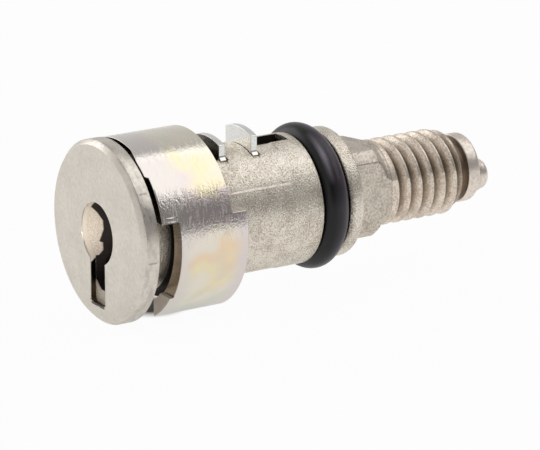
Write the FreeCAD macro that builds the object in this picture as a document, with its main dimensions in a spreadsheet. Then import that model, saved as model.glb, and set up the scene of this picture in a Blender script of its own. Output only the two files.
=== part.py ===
import FreeCAD, Part
import os
import Sketcher
from FreeCAD import Placement, Rotation, Vector

# Lock cylinder. Y runs along the turning axis from the key side to the cam side,
# Z is up, and the origin is the centre of the keyhole in the front face.
# Lengths are in millimetres and angles in degrees.

SIZES = [
    # face cap and head
    ("cap_overhang", 0.05),
    ("cap_wall", 0.55),
    ("cap_bevel", 0.42),
    ("cap_gap", 0.02),
    ("crimp_depth", 0.3),
    ("crimp_reach", 0.5),
    ("head_depth", 0.78),
    # key opening
    ("key_radius", 2.76),
    ("key_bore_web", 0.45),
    ("key_slot_width", 2.56),
    ("face_slot_drop", 6.6),
    ("keyway_drop", 4.95),
    ("keyway_run_on", 3.1),
    ("ward_width", 0.4),
    ("ward_height", 1.0),
    # neck, collar and barrel
    ("barrel_radius", 5.88),
    ("barrel_relief", 0.06),
    ("collar_setback", 3.1),
    ("collar_length", 3.4),
    ("collar_height", 0.57),
    ("relief_run_on", 2.4),
    ("barrel_run_on", 5.3),
    ("top_slot_width", 2.1),
    ("top_slot_length", 3.9),
    ("ledge_depth", 0.46),
    ("ledge_length", 2.7),
    # seal groove and flange
    ("groove_width", 2.7),
    ("groove_depth", 1.83),
    ("seal_thickness", 2.5),
    ("flange_inset", 0.03),
    ("flange_width", 1.5),
    ("flange_chamfer", 0.3),
    # drive, thread and tip
    ("drive_corner_radius", 4.8),
    ("drive_length", 2.9),
    ("drive_height", 8.0),
    ("drive_width", 7.3),
    ("drive_run_out", 0.8),
    ("thread_radius", 3.92),
    ("thread_collar", 0.58),
    ("thread_length", 8.35),
    ("thread_width", 7.5),
    ("thread_chamfer", 0.5),
    ("undercut_radius", 2.75),
    ("undercut_width", 0.95),
    ("tip_radius", 3.15),
    ("tip_thickness", 1.3),
    ("tip_chamfer", 0.2),
    ("nose_foot_radius", 1.95),
    ("nose_radius", 1.41),
    ("nose_drop", 0.97),
    ("nose_length", 2.28),
    ("nose_chamfer", 0.5),
    # wafers and springs
    ("wafer_setback", 2.82),
    ("wafer_pitch", 3.25),
    ("wafer_thickness", 0.62),
    ("wafer_width", 4.35),
    ("wafer_side_gap", 0.1),
    ("wafer_face_gap", 0.05),
    ("window_width", 2.9),
    ("window_top", 3.2),
    ("window_bottom", 4.2),
    ("lug_end_gap", 0.08),
    ("lug_height", 1.2),
    ("lug_root", 0.36),
    ("lug_drop", 0.3),
    ("lug_gap", 0.05),
    ("front_lift", 0.5),
    ("third_lift", 1.15),
    ("rear_lift", 1.5),
    ("spring_radius", 0.64),
    ("spring_wire", 0.2),
    ("spring_hole_gap", 0.1),
    ("spring_floor", 3.5),
    # sleeve
    ("collar_gap", 0.05),
    ("sleeve_wall", 1.55),
    ("sleeve_gap", 0.47),
    ("sleeve_length", 8.4),
    ("front_step", 1.68),
    ("foot_step", 1.35),
    ("foot_height", 5.2),
    ("rear_step", 1.5),
    ("step_height", 2.38),
    ("sleeve_opening", 7.3),
    ("sleeve_edge", 0.2),
    ("sleeve_rear_edge", 0.4),
    ("nib_height", 0.32),
    ("nib_start", 47.0),
    ("nib_sweep", 18.0),
]

WAFER_COUNT = 4


class Size:
    """A length or angle with its number and the text that binds it to the sheet."""

    def __init__(self, value, text=None):
        self.value = value
        self.text = text if text is not None else repr(float(value))

    def join(self, sign, other, value):
        return Size(value, "(%s %s %s)" % (self.text, sign, other.text))

    def __add__(self, other):
        other = as_size(other)
        return self.join("+", other, self.value + other.value)

    def __sub__(self, other):
        other = as_size(other)
        return self.join("-", other, self.value - other.value)

    def __mul__(self, other):
        other = as_size(other)
        return self.join("*", other, self.value * other.value)

    def __truediv__(self, other):
        other = as_size(other)
        return self.join("/", other, self.value / other.value)

    def __neg__(self):
        return Size(-self.value, "(-1 * %s)" % self.text)


def as_size(value):
    return value if isinstance(value, Size) else Size(value)


doc = FreeCAD.newDocument("lock_cylinder")
sheet = doc.addObject("Spreadsheet::Sheet", "Sizes")
size = {}
for row, (alias, value) in enumerate(SIZES, start=1):
    sheet.set("A%d" % row, alias)
    sheet.set("B%d" % row, repr(value))
    sheet.setAlias("B%d" % row, alias)
    size[alias] = Size(value, "Sizes.%s" % alias)
doc.recompute()


def bind(item, place, value):
    """Set one property of an object from the sheet."""
    item.setExpression(place, as_size(value).text)


# Stations along the axis, each worked out from the sheet
head_front = size["cap_wall"]
head_rear = head_front + size["head_depth"]
cap_rear = head_rear + size["crimp_depth"]
sleeve_start = cap_rear + size["sleeve_gap"]
sleeve_end = sleeve_start + size["sleeve_length"]
collar_start = sleeve_start + size["collar_setback"]
collar_end = collar_start + size["collar_length"]
first_wafer = cap_rear + size["wafer_setback"]
last_wafer = first_wafer + size["wafer_pitch"] * (WAFER_COUNT - 1)
key_bore_end = first_wafer - size["key_bore_web"]
keyway_end = last_wafer + size["keyway_run_on"]
relief_end = last_wafer + size["relief_run_on"]
barrel_end = last_wafer + size["barrel_run_on"]
groove_end = barrel_end + size["groove_width"]
flange_rear = groove_end + size["flange_width"]
drive_end = flange_rear + size["drive_length"]
run_out_end = drive_end + size["drive_run_out"]
thread_end = run_out_end + size["thread_length"]
undercut_end = thread_end + size["undercut_width"]
tip_rear = undercut_end + size["tip_thickness"]

# Radii, each built up from the barrel
relieved_radius = size["barrel_radius"] - size["barrel_relief"]
collar_radius = size["barrel_radius"] + size["collar_height"]
sleeve_bore = collar_radius + size["collar_gap"]
sleeve_radius = sleeve_bore + size["sleeve_wall"]
cap_radius = sleeve_radius + size["cap_overhang"]
head_radius = cap_radius - size["cap_wall"] - size["cap_gap"]
groove_radius = size["barrel_radius"] - size["groove_depth"]
flange_radius = size["barrel_radius"] - size["flange_inset"]
beyond = cap_radius * 3  # reach of a cutting sketch past the part

# Wafer slots, lug channels and spring holes
slot_half_width = size["wafer_width"] / 2 + size["wafer_side_gap"]
slot_thickness = size["wafer_thickness"] + size["wafer_face_gap"] * 2
spring_hole_radius = size["spring_radius"] + size["spring_hole_gap"]
spring_offset = slot_half_width + spring_hole_radius
lug_reach = size["wafer_side_gap"] + spring_hole_radius * 2 - size["lug_end_gap"]
wafer_lifts = [size["front_lift"], size["front_lift"], size["third_lift"], size["rear_lift"]]


def wafer_front(index):
    """Where the front face of a wafer lies."""
    return first_wafer + size["wafer_pitch"] * index


def origin_plane(body, role):
    for feature in body.Origin.OriginFeatures:
        if feature.Role == role:
            return feature
    raise ValueError(role)


def new_body(name):
    body = doc.addObject("PartDesign::Body", name)
    body.Label = name
    return body


def new_sketch(body, name, role, offset=None, turn=None):
    """Sketch on an origin plane, moved along that plane's normal by offset."""
    sketch = body.newObject("Sketcher::SketchObject", name)
    sketch.AttachmentSupport = (origin_plane(body, role), [""])
    sketch.MapMode = "FlatFace"
    if turn is not None:
        sketch.AttachmentOffset = Placement(Vector(), Rotation(Vector(0, 1, 0), -turn.value))
        bind(sketch, "AttachmentOffset.Rotation.Angle", -turn)
    if offset is not None:
        bind(sketch, "AttachmentOffset.Base.z", offset)
    return sketch


def fix_point(sketch, line, end, name, x, y):
    """Tie one end of a curve to its distances from the sketch's origin."""
    for kind, axis, value in (("DistanceX", "x", x), ("DistanceY", "y", y)):
        value = as_size(value)
        rule = Sketcher.Constraint(kind, -1, 1, line, end, value.value)
        number = sketch.addConstraint(rule)
        label = "%s_%s" % (name, axis)
        sketch.renameConstraint(number, label)
        sketch.setExpression("Constraints.%s" % label, value.text)


def add_polygon(sketch, corners, name="corner"):
    """Closed outline through corners, each corner tied to the sheet."""
    points = [Vector(as_size(x).value, as_size(y).value, 0) for x, y in corners]
    count = len(points)
    lines = []
    for index in range(count):
        edge = Part.LineSegment(points[index], points[(index + 1) % count])
        lines.append(sketch.addGeometry(edge, False))
    for index in range(count):
        following = lines[(index + 1) % count]
        sketch.addConstraint(Sketcher.Constraint("Coincident", lines[index], 2, following, 1))
    for index, (x, y) in enumerate(corners):
        fix_point(sketch, lines[index], 1, "%s_%d" % (name, index), x, y)


def add_rectangle(sketch, left, right, low, high, name="corner"):
    add_polygon(sketch, [(left, low), (right, low), (right, high), (left, high)], name)


def add_circle(sketch, x, y, radius, name="circle"):
    x, y, radius = as_size(x), as_size(y), as_size(radius)
    shape = Part.Circle(Vector(x.value, y.value, 0), Vector(0, 0, 1), radius.value)
    ring = sketch.addGeometry(shape, False)
    fix_point(sketch, ring, 3, name, x, y)
    number = sketch.addConstraint(Sketcher.Constraint("Radius", ring, radius.value))
    sketch.renameConstraint(number, name + "_radius")
    sketch.setExpression("Constraints.%s_radius" % name, radius.text)


def revolve(body, name, sketch, sweep=None, axis="V_Axis"):
    """Turn a sketch about one of its own axes, which runs along Y."""
    feature = body.newObject("PartDesign::Revolution", name)
    feature.Profile = sketch
    feature.ReferenceAxis = (sketch, [axis])
    if sweep is None:
        feature.Angle = 360
    else:
        feature.Angle = sweep.value
        bind(feature, "Angle", sweep)
    feature.Refine = True
    return feature


def cut_through(body, name, sketch, upward_only=False):
    """Pocket a sketch right through the part, to both sides of its plane or upward."""
    feature = body.newObject("PartDesign::Pocket", name)
    feature.Profile = sketch
    feature.Type = 1
    feature.Midplane = not upward_only
    feature.Reversed = upward_only
    return feature


def cut_depth(body, name, sketch, depth, reverse=False):
    feature = body.newObject("PartDesign::Pocket", name)
    feature.Profile = sketch
    feature.Type = 0
    feature.Reversed = reverse
    feature.Length = as_size(depth).value
    bind(feature, "Length", depth)
    return feature


def row_pattern(body, name, features, sketch, pitch):
    """Repeat features along Y, once for each wafer."""
    feature = body.newObject("PartDesign::LinearPattern", name)
    feature.Originals = features
    feature.Direction = (sketch, ["V_Axis"])
    feature.Length = pitch.value * (WAFER_COUNT - 1)
    bind(feature, "Length", pitch * (WAFER_COUNT - 1))
    feature.Occurrences = WAFER_COUNT
    body.Tip = feature
    return feature


def make_face_cap():
    """Pressed cap over the head: a skin with a bevelled rim, crimped behind the head."""
    body = new_body("face_cap")
    profile = new_sketch(body, "cap_profile", "XY_Plane")
    inner = cap_radius - size["cap_wall"]
    lip = inner - size["crimp_reach"]
    add_polygon(profile, [
        (Size(0.0), Size(0.0)),
        (cap_radius - size["cap_bevel"], Size(0.0)),
        (cap_radius, size["cap_bevel"]),
        (cap_radius, cap_rear),
        (lip, cap_rear),
        (lip, head_rear),
        (inner, head_rear),
        (inner, head_front),
        (Size(0.0), head_front),
    ])
    revolve(body, "cap_shell", profile)
    half = size["key_slot_width"] / 2
    hole = new_sketch(body, "cap_keyhole", "XZ_Plane")
    add_circle(hole, 0.0, 0.0, size["key_radius"])
    cut_depth(body, "cap_round_hole", hole, head_front, reverse=False)
    slot = new_sketch(body, "cap_slot_outline", "XZ_Plane")
    add_rectangle(slot, -half, half, -size["face_slot_drop"], Size(0.0))
    cut_depth(body, "cap_slot", slot, head_front, reverse=False)
    return body


def make_plug():
    """Die-cast plug: head, barrel, seal groove, flange, square drive, thread and tip."""
    body = new_body("plug")
    profile = new_sketch(body, "plug_profile", "XY_Plane")
    add_polygon(profile, [
        (Size(0.0), head_front),
        (head_radius, head_front),
        (head_radius, head_rear),
        (relieved_radius, head_rear),
        (relieved_radius, collar_start),
        (collar_radius, collar_start),
        (collar_radius, collar_end),
        (relieved_radius, collar_end),
        (relieved_radius, relief_end),
        (size["barrel_radius"], relief_end + size["barrel_relief"]),
        (size["barrel_radius"], barrel_end),
        (groove_radius, barrel_end),
        (groove_radius, groove_end),
        (flange_radius, groove_end),
        (flange_radius, flange_rear - size["flange_chamfer"]),
        (flange_radius - size["flange_chamfer"], flange_rear),
        (size["drive_corner_radius"], flange_rear),
        (size["drive_corner_radius"], drive_end),
        (size["thread_radius"], run_out_end),
        (size["thread_radius"], thread_end - size["thread_chamfer"]),
        (size["thread_radius"] - size["thread_chamfer"], thread_end),
        (size["undercut_radius"], thread_end),
        (size["undercut_radius"], undercut_end),
        (size["tip_radius"], undercut_end),
        (size["tip_radius"], tip_rear - size["tip_chamfer"]),
        (size["tip_radius"] - size["tip_chamfer"], tip_rear),
        (Size(0.0), tip_rear),
    ])
    revolve(body, "plug_turning", profile)

    # Square drive: flats above and below, and side flats that run on along the thread
    flats = new_sketch(body, "drive_top_flats", "YZ_Plane")
    for side, name in ((1, "upper"), (-1, "lower")):
        edge = size["drive_height"] / 2 * side
        add_rectangle(flats, flange_rear, run_out_end, edge, beyond * side, name)
    cut_through(body, "drive_top_cut", flats)
    sides = new_sketch(body, "drive_side_flats", "XY_Plane")
    for side, name in ((1, "right"), (-1, "left")):
        drive_edge = size["drive_width"] / 2 * side
        thread_edge = size["thread_width"] / 2 * side
        add_polygon(sides, [
            (drive_edge, flange_rear),
            (beyond * side, flange_rear),
            (beyond * side, thread_end),
            (thread_edge, thread_end),
            (thread_edge, run_out_end + size["thread_collar"]),
            (drive_edge, run_out_end + size["thread_collar"]),
        ], name)
    cut_through(body, "drive_side_cut", sides)

    # Tapered nose on the end disc, below the axis
    nose = new_sketch(body, "nose_profile", "YZ_Plane")
    bind(nose, "AttachmentOffset.Base.y", -size["nose_drop"])
    nose_end = tip_rear + size["nose_length"]
    add_polygon(nose, [
        (tip_rear, Size(0.0)),
        (nose_end, Size(0.0)),
        (nose_end, size["nose_radius"] - size["nose_chamfer"]),
        (nose_end - size["nose_chamfer"], size["nose_radius"]),
        (tip_rear, size["nose_foot_radius"]),
    ])
    revolve(body, "nose", nose, axis="H_Axis")

    # Key opening: a round bore at the mouth, and the blade's way behind it
    bore = new_sketch(body, "key_bore_outline", "XZ_Plane")
    add_circle(bore, 0.0, 0.0, size["key_radius"])
    cut_depth(body, "key_bore", bore, key_bore_end)
    half = size["key_slot_width"] / 2
    way = new_sketch(body, "keyway_outline", "XZ_Plane")
    floor = -size["keyway_drop"]
    ward_side = -half + size["ward_width"]
    ward_top = floor + size["ward_height"]
    add_polygon(way, [
        (-half, ward_top),
        (ward_side, floor + size["ward_width"]),
        (ward_side, floor),
        (half, floor),
        (half, size["key_radius"]),
        (-half, size["key_radius"]),
    ])
    cut_depth(body, "keyway", way, keyway_end)

    # Flat and open slot on top of the barrel, behind the last wafer
    ledge = new_sketch(body, "ledge_outline", "YZ_Plane")
    ledge_height = size["barrel_radius"] - size["ledge_depth"]
    add_rectangle(ledge, last_wafer, last_wafer + size["ledge_length"], ledge_height, beyond)
    cut_through(body, "ledge", ledge)
    top = new_sketch(body, "top_slot_outline", "XY_Plane")
    reach = size["top_slot_width"] / 2
    slot_front = last_wafer + size["wafer_thickness"]
    add_rectangle(top, -reach, reach, slot_front, slot_front + size["top_slot_length"])
    cut_through(body, "top_slot", top, upward_only=True)

    # Cross slots, right through from top to bottom
    slot = new_sketch(body, "wafer_slot_outline", "XY_Plane")
    near = wafer_front(0) - size["wafer_face_gap"]
    add_rectangle(slot, -slot_half_width, slot_half_width, near, near + slot_thickness)
    slot_cut = cut_through(body, "wafer_slot", slot)
    row_pattern(body, "wafer_slots", [slot_cut], slot, size["wafer_pitch"])

    # Each wafer's lug channel, closed above the lug, and its blind spring hole
    for index, lift in enumerate(wafer_lifts):
        number = index + 1
        channel_top = lift - size["lug_drop"] + size["lug_height"] + size["lug_gap"]
        middle = wafer_front(index) + size["wafer_thickness"] / 2
        height = channel_top + size["spring_floor"]
        floor_level = -size["spring_floor"]
        channel = new_sketch(body, "lug_channel_outline_%d" % number, "XY_Plane", floor_level)
        far = -spring_offset - spring_hole_radius
        channel_front = middle - slot_thickness / 2
        add_rectangle(channel, far, -slot_half_width + size["wafer_side_gap"],
                      channel_front, channel_front + slot_thickness)
        cut_depth(body, "lug_channel_%d" % number, channel, height, reverse=True)
        hole = new_sketch(body, "spring_hole_outline_%d" % number, "XY_Plane", floor_level)
        add_circle(hole, -spring_offset, middle, spring_hole_radius)
        cut_depth(body, "spring_hole_%d" % number, hole, height, reverse=True)
    return body


def block(name, x, y, z, across, along, up):
    """Box with its lowest corner at x, y, z."""
    item = doc.addObject("Part::Box", name)
    for place, value in (("Length", across), ("Width", along), ("Height", up)):
        bind(item, place, value)
    for place, value in (("x", x), ("y", y), ("z", z)):
        bind(item, "Placement.Base." + place, value)
    return item


def rod(name, radius, length, x, y, z, upright=False):
    """Cylinder that starts at x, y, z and runs along Y, or up along Z."""
    item = doc.addObject("Part::Cylinder", name)
    if not upright:
        item.Placement = Placement(Vector(), Rotation(Vector(1, 0, 0), -90))
    bind(item, "Radius", radius)
    bind(item, "Height", length)
    for place, value in (("x", x), ("y", y), ("z", z)):
        bind(item, "Placement.Base." + place, value)
    return item


def combine(kind, name, base, tool):
    item = doc.addObject("Part::" + kind, name)
    item.Base = base
    item.Tool = tool
    return item


def make_wafer(index, lift):
    """Plate with ends rounded to the barrel, a window for the key and a lug for the spring."""
    name = "wafer_%d" % (index + 1)
    front = wafer_front(index)
    thickness = size["wafer_thickness"]
    half = size["wafer_width"] / 2
    round_plate = rod(name + "_round", size["barrel_radius"], thickness, 0.0, front, lift)
    strip = block(name + "_strip", -half, front, lift - size["barrel_radius"],
                  size["wafer_width"], thickness, size["barrel_radius"] * 2)
    plate = combine("Common", name + "_plate", round_plate, strip)
    lug = block(name + "_lug", -half - lug_reach, front, lift - size["lug_drop"],
                lug_reach + size["lug_root"], thickness, size["lug_height"])
    lugged = combine("Fuse", name + "_lugged", plate, lug)
    window = block(name + "_window", -size["window_width"] / 2, front - size["wafer_face_gap"],
                   lift - size["window_bottom"], size["window_width"], slot_thickness,
                   size["window_bottom"] + size["window_top"])
    wafer = combine("Cut", name + "_solid", lugged, window)
    wafer.Label = name
    return wafer


def make_spring(index, lift):
    """Coil spring between the floor of its hole and the lug, as a plain tube."""
    name = "spring_%d" % (index + 1)
    middle = wafer_front(index) + size["wafer_thickness"] / 2
    length = size["spring_floor"] + lift - size["lug_drop"]
    outer = rod(name + "_outer", size["spring_radius"], length,
                -spring_offset, middle, -size["spring_floor"], upright=True)
    inner = rod(name + "_inner", size["spring_radius"] - size["spring_wire"], length,
                -spring_offset, middle, -size["spring_floor"], upright=True)
    spring = combine("Cut", name + "_solid", outer, inner)
    spring.Label = name
    return spring


def make_seal_ring():
    """O-ring stretched over the floor of its groove."""
    ring = doc.addObject("Part::Torus", "seal_ring")
    ring.Label = "seal_ring"
    ring.Placement = Placement(Vector(), Rotation(Vector(1, 0, 0), -90))
    half = size["seal_thickness"] / 2
    bind(ring, "Radius1", groove_radius + size["cap_gap"] + half)
    bind(ring, "Radius2", half)
    bind(ring, "Placement.Base.y", barrel_end + size["groove_width"] / 2)
    return ring


def make_sleeve():
    """Stepped ring around the collar, open below, with a nib on its front edge."""
    body = new_body("sleeve")
    profile = new_sketch(body, "sleeve_profile", "XY_Plane")
    edge = size["sleeve_edge"]
    rear_edge = size["sleeve_rear_edge"]
    add_polygon(profile, [
        (sleeve_bore, sleeve_start),
        (sleeve_radius - edge, sleeve_start),
        (sleeve_radius, sleeve_start + edge),
        (sleeve_radius, sleeve_end - rear_edge),
        (sleeve_radius - rear_edge, sleeve_end),
        (sleeve_bore, sleeve_end),
    ])
    revolve(body, "sleeve_ring", profile)
    nib = new_sketch(body, "nib_profile", "XY_Plane", turn=size["nib_start"])
    nib_front = sleeve_start - size["nib_height"]
    add_rectangle(nib, sleeve_bore, sleeve_radius - edge,
                  nib_front, sleeve_start + edge)
    revolve(body, "nib", nib, size["nib_sweep"])
    steps = new_sketch(body, "step_outline", "YZ_Plane")
    front = sleeve_start + size["front_step"]
    foot_front = sleeve_start + size["foot_step"]
    add_polygon(steps, [
        (-beyond, size["step_height"]),
        (-beyond, -beyond),
        (foot_front, -beyond),
        (foot_front, -size["foot_height"]),
        (front, -size["foot_height"]),
        (front, size["step_height"]),
    ], "front")
    add_rectangle(steps, sleeve_end - size["rear_step"], beyond,
                  size["step_height"], beyond, "rear")
    cut_through(body, "steps", steps)
    opening = new_sketch(body, "opening_outline", "XZ_Plane")
    reach = size["sleeve_opening"] / 2
    add_rectangle(opening, -reach, reach, -beyond, Size(0.0))
    cut_through(body, "opening", opening)
    return body


nodes = [make_face_cap(), make_plug(), make_seal_ring(), make_sleeve()]
for index, lift in enumerate(wafer_lifts):
    nodes.append(make_wafer(index, lift))
    nodes.append(make_spring(index, lift))
doc.recompute()

for item in doc.Objects:
    if "Invalid" in item.State or "Error" in item.State:
        raise RuntimeError("%s failed: %s" % (item.Name, item.State))

os.makedirs("parts", exist_ok=True)
for node in nodes:
    shape = node.Shape
    if shape.isNull() or not shape.isValid():
        raise RuntimeError("%s has no valid shape" % node.Label)
    print("%-12s solids %d volume %9.3f" % (node.Label, len(shape.Solids), shape.Volume))
    shape.exportStep("parts/%s.step" % node.Label)
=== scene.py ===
import math

import bmesh
import bpy
from mathutils import Matrix, Vector


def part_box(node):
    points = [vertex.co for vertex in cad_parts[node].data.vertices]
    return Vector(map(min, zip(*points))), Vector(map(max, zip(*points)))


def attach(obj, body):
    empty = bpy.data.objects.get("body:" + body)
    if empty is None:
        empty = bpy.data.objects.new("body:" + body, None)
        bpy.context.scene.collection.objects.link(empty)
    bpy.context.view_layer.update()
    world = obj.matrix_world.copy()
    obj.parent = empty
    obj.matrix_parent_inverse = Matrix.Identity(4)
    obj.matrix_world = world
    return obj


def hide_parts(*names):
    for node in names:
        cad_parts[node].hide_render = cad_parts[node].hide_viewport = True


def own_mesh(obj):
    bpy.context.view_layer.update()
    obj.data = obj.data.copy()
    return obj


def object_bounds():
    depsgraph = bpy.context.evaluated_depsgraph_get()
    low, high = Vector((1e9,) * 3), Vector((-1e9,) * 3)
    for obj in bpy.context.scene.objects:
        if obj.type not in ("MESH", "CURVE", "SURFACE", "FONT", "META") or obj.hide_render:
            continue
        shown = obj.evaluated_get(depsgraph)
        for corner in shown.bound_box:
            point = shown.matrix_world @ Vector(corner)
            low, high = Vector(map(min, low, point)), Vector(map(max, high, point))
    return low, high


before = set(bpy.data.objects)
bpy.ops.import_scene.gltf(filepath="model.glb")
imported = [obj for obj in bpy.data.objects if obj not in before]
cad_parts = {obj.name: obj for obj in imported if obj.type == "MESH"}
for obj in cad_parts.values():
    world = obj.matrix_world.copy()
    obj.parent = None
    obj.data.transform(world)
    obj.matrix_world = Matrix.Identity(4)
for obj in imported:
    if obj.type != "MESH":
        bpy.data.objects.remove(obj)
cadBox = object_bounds()
mm = 0.001
outside = 9        # millimetres from the axis, past every piece, for the tools that cut


def nodeBox(name):
    low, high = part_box(name)
    return low / mm, high / mm


# Main stations along Y and radii, in millimetres, read from the frame
capLow, capHigh = nodeBox("face_cap")
plugLow, plugHigh = nodeBox("plug")
sleeveHigh = nodeBox("sleeve")[1]
sealLow, sealHigh = nodeBox("seal_ring")
capRadius = capHigh.x
capRear = capHigh.y
capWall = plugLow.y - capLow.y
sleeveRadius = sleeveHigh.x
sleeveRear = sleeveHigh.y
sealMiddle = (sealLow.y + sealHigh.y) / 2
plugEnd = plugHigh.y


# Mesh helpers, all lengths in millimetres

def roundCorners(points, radii, steps=4):
    # puts an arc in each corner of an open outline
    result = []
    last = len(points) - 1
    for i, point in enumerate(points):
        radius = radii[i] if i < len(radii) else 0.0
        if i in (0, last) or radius <= 0.0:
            result.append(Vector(point))
            continue
        here = Vector(point)
        before = (Vector(points[i - 1]) - here).normalized()
        after = (Vector(points[i + 1]) - here).normalized()
        half = before.angle(after) / 2
        reach = radius / math.tan(half)
        centre = here + (before + after).normalized() * (radius / math.sin(half))
        start = here + before * reach - centre
        end = here + after * reach - centre
        sweep = start.angle(end)
        for k in range(steps + 1):
            t = k / steps
            turned = (start * math.sin((1 - t) * sweep) + end * math.sin(t * sweep)) / math.sin(sweep)
            result.append(centre + turned)
    return result


def ringPoints(radius, station, count, drop=0.0):
    points = []
    for k in range(count):
        angle = 2 * math.pi * k / count
        points.append(Vector((radius * math.cos(angle), station, radius * math.sin(angle) + drop)))
    return points


def meshObject(name, bm):
    mesh = bpy.data.meshes.new(name)
    bm.to_mesh(mesh)
    bm.free()
    obj = bpy.data.objects.new(name, mesh)
    bpy.context.scene.collection.objects.link(obj)
    return obj


def buildMesh(name, rings, loop=False):
    # joins rings with as many points each into a skin: closed at its ends, or last ring to first
    bm = bmesh.new()
    made = [[bm.verts.new(p * mm) for p in ring] for ring in rings]
    count = len(rings[0])
    pairs = list(zip(made, made[1:]))
    if loop:
        pairs.append((made[-1], made[0]))
    for first, second in pairs:
        for k in range(count):
            after = (k + 1) % count
            bm.faces.new((first[k], first[after], second[after], second[k]))
    if not loop:
        bm.faces.new(list(reversed(made[0])))
        bm.faces.new(made[-1])
    bmesh.ops.remove_doubles(bm, verts=bm.verts, dist=1e-7)
    bmesh.ops.recalc_face_normals(bm, faces=bm.faces)
    return meshObject(name, bm)


def lathe(name, profile, count=192, drop=0.0, loop=False):
    # turns (radius, station) points about the Y axis
    rings = [ringPoints(p[0], p[1], count, drop) for p in profile]
    return buildMesh(name, rings, loop)


def prism(name, outline, start, end):
    # outline in X and Z, run along Y
    rings = [[Vector((p[0], station, p[1])) for p in outline] for station in (start, end)]
    return buildMesh(name, rings)


def block(name, low, high):
    bm = bmesh.new()
    bmesh.ops.create_cube(bm, size=1.0)
    for v in bm.verts:
        for axis in range(3):
            v.co[axis] = (low[axis] if v.co[axis] < 0 else high[axis]) * mm
    return meshObject(name, bm)


def applyModifiers(obj):
    bpy.context.view_layer.update()
    graph = bpy.context.evaluated_depsgraph_get()
    mesh = bpy.data.meshes.new_from_object(obj.evaluated_get(graph))
    obj.modifiers.clear()
    obj.data = mesh


def cut(obj, tools, operation="DIFFERENCE"):
    for tool in tools:
        step = obj.modifiers.new("cut", "BOOLEAN")
        step.operation = operation
        step.solver = "EXACT"
        step.object = tool
        applyModifiers(obj)
        bpy.data.objects.remove(tool)


def softenEdges(obj, width, limit=32.0, segments=2):
    step = obj.modifiers.new("edges", "BEVEL")
    step.width = width * mm
    step.segments = segments
    step.limit_method = "ANGLE"
    step.angle_limit = math.radians(limit)
    step.use_clamp_overlap = False
    step.miter_outer = "MITER_ARC"
    applyModifiers(obj)


def smoothShade(obj, limit):
    # smooth faces, with a crease wherever two of them meet at more than the limit
    bm = bmesh.new()
    bm.from_mesh(obj.data)
    bmesh.ops.remove_doubles(bm, verts=bm.verts, dist=2e-6)
    for face in bm.faces:
        face.smooth = True
    for edge in bm.edges:
        edge.smooth = len(edge.link_faces) == 2 and edge.calc_face_angle(0.0) <= math.radians(limit)
    bm.to_mesh(obj.data)
    bm.free()


def finishPiece(obj, material, body, nodes=(), limit=38.0):
    smoothShade(obj, limit)
    step = obj.modifiers.new("normals", "WEIGHTED_NORMAL")
    step.keep_sharp = True
    applyModifiers(obj)
    obj.data.materials.clear()
    obj.data.materials.append(material)
    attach(obj, body)
    if nodes:
        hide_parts(*nodes)


# Material helpers: each adds nodes beside the sockets that it gets, and gives back the result's socket

def newMaterial(name):
    material = bpy.data.materials.new(name)
    material.use_nodes = True
    return material, material.node_tree, material.node_tree.nodes["Principled BSDF"]


def isSocket(value):
    return isinstance(value, bpy.types.NodeSocket)


def give(socket, value):
    # links a socket, or sets a colour or a number
    if isSocket(value):
        socket.id_data.links.new(value, socket)
    else:
        socket.default_value = (*value, 1.0) if isinstance(value, tuple) else value


def feed(node, **values):
    # gives a node's inputs their values; an underscore stands for a space
    for name, value in values.items():
        give(node.inputs[name.replace("_", " ")], value)


def splitPoint(point):
    node = point.id_data.nodes.new("ShaderNodeSeparateXYZ")
    give(node.inputs[0], point)
    return node.outputs[:3]


def joinPoint(x, y):
    node = x.id_data.nodes.new("ShaderNodeCombineXYZ")
    feed(node, X=x, Y=y)
    return node.outputs[0]


def objectPoint(tree):
    # position on the piece, in millimetres
    place = tree.nodes.new("ShaderNodeTexCoord")
    mapping = tree.nodes.new("ShaderNodeMapping")
    mapping.inputs["Scale"].default_value = [1 / mm] * 3
    feed(mapping, Vector=place.outputs["Object"])
    return mapping.outputs["Vector"]


def noiseTexture(point, scale, detail=3.0, rough=0.55):
    node = point.id_data.nodes.new("ShaderNodeTexNoise")
    feed(node, Vector=point, Scale=scale, Detail=detail, Roughness=rough)
    return node.outputs["Fac"]


def ramp(value, stops, smooth=False):
    node = value.id_data.nodes.new("ShaderNodeValToRGB")
    elements = node.color_ramp.elements
    while len(elements) < len(stops):
        elements.new(0.5)
    for element, (place, colour) in zip(elements, stops):
        element.position = place
        if not hasattr(colour, "__len__"):
            colour = (colour, colour, colour)
        element.color = (*colour, 1.0)
    node.color_ramp.interpolation = "EASE" if smooth else "LINEAR"
    feed(node, Fac=value)
    return node.outputs["Color"]


def mathNode(operation, first, second=0.0, clamp=False):
    # one of the two values may be a number
    tree = (first if isSocket(first) else second).id_data
    node = tree.nodes.new("ShaderNodeMath")
    node.operation = operation
    node.use_clamp = clamp
    give(node.inputs[0], first)
    give(node.inputs[1], second)
    return node.outputs[0]


def total(first, second):
    return mathNode("ADD", first, second)


def product(first, *others):
    for other in others:
        first = mathNode("MULTIPLY", first, other)
    return first


def largest(first, *others):
    for other in others:
        first = mathNode("MAXIMUM", first, other)
    return first


def inverse(value):
    return mathNode("SUBTRACT", 1.0, value)


def below(value, limit, blend):
    # one under the limit and nought above it
    share = mathNode("DIVIDE", mathNode("SUBTRACT", limit, value), blend)
    return mathNode("ADD", share, 0.5, clamp=True)


def above(value, limit, blend):
    return inverse(below(value, limit, blend))


def near(value, middle, half, blend):
    # one within the half width of the middle and nought beyond it
    return below(mathNode("ABSOLUTE", mathNode("SUBTRACT", value, middle)), half, blend)


def radiusFrom(x, z):
    # distance from the turning axis, or from any other point when its offsets are given
    return mathNode("SQRT", total(product(x, x), product(z, z)))


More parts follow.
